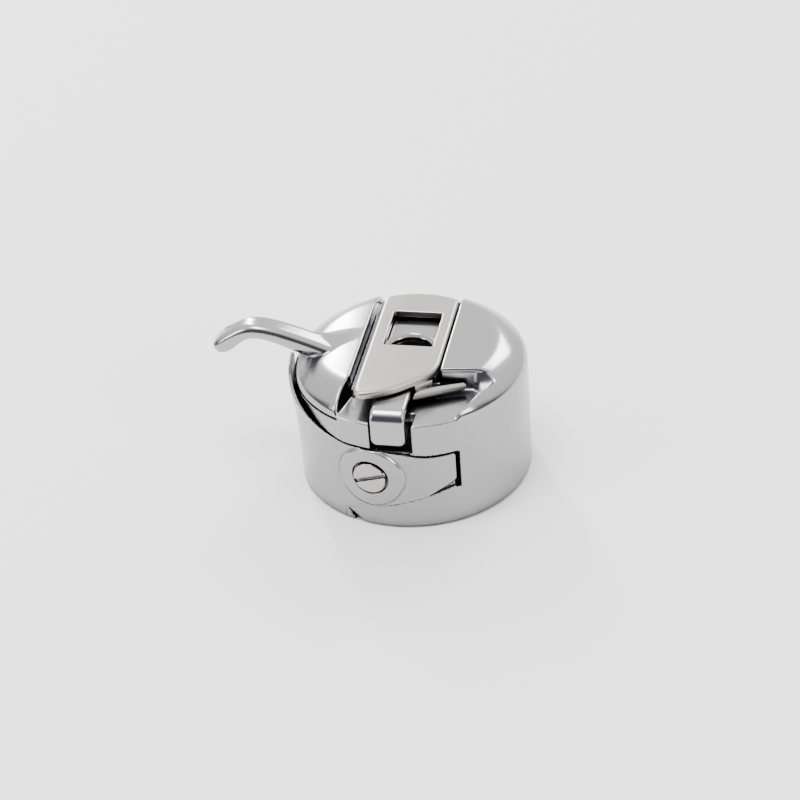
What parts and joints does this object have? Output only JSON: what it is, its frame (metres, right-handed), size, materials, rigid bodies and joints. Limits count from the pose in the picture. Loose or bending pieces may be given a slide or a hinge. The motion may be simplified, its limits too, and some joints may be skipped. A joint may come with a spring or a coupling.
{
  "type": "bobbin case",
  "caption": "Round steel sewing machine bobbin case, open below, with a bent positioning finger, hinged latch lever, sliding latch tab and leaf tension spring with its screw.",
  "frame": {"origin": "on the axis of the centre post, in the plane of the post's mouth and of the open rim", "axes": "+Z along the case axis from the open rim to the latch face, +Y towards the latch hinge, the positioning finger points along -X"},
  "size_m": [0.0306, 0.023, 0.0159],
  "materials": {
    "case_plate": "bright nickel plate on the case wall",
    "cover_plate": "bright nickel plate on the domed cover",
    "post_plate": "plated and lightly turned",
    "latch_plate": "polished plate on the latch slide",
    "pin_steel": "ground steel pin",
    "lever_plate": "satin plated lever",
    "spring_wire": "drawn spring wire",
    "leaf_plate": "polished spring steel leaf",
    "screw_plate": "turned screw head, plated"
  },
  "bodies": {
    "case": {"case_wall": "case_plate", "face_cover": "cover_plate", "centre_post": "post_plate", "tension_spring": "leaf_plate", "latch_spring": "spring_wire"},
    "slide": {"latch_slide": "latch_plate"},
    "lever": {"latch_lever": "lever_plate", "hinge_pin": "pin_steel"},
    "screw": {"tension_screw": "screw_plate"}
  },
  "joints": [
    {"name": "slide_travel", "type": "slide", "parent": "case", "child": "slide", "axis": [0, 1, 0], "range_m": [0, 0.0013], "deforming": ["latch_spring"]},
    {"name": "lever_hinge", "type": "hinge", "parent": "slide", "child": "lever", "pos_m": [0, 0.0081, 0.0126], "axis": [-1, 0, 0], "range_deg": [0, 90], "stiffness_Nm_per_rad": 0.0002, "springref_deg": -28.65},
    {"name": "screw_turn", "type": "hinge", "parent": "case", "child": "screw", "pos_m": [-0.00225, -0.01107, 0.00568], "axis": [-0.1994, -0.9799, 0], "range_deg": [-360, 360]}
  ],
  "couplings": [
    {"joint": "lever_hinge", "follows": "slide_travel", "rad_per_m": 1208}
  ]
}
